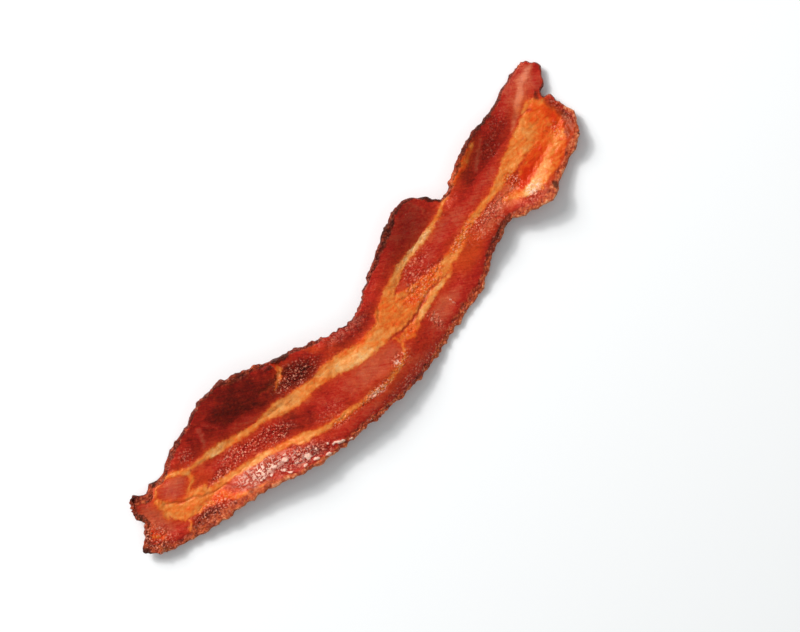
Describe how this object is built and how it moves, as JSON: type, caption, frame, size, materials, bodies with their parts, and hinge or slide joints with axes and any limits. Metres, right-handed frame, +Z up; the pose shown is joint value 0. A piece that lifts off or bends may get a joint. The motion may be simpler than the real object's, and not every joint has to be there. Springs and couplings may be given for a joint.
{
  "type": "fried bacon strip",
  "caption": "Thin wavy slice of fried streaky bacon with a bowed outline, ruffled browned edges and a torn end, lying flat",
  "frame": {"origin": "on the surface that the strip lies on, under the middle of the strip's box", "axes": "+X runs along the strip to its torn end, +Y points to the edge with the tall lean ruffles, +Z is up"},
  "size_m": [0.191, 0.0456, 0.012],
  "materials": {
    "fried_bacon": "fried lean and fat, glossy with fat in places, browned at the edges"
  },
  "bodies": {
    "root": {"bacon_strip": "fried_bacon"}
  },
  "joints": []
}
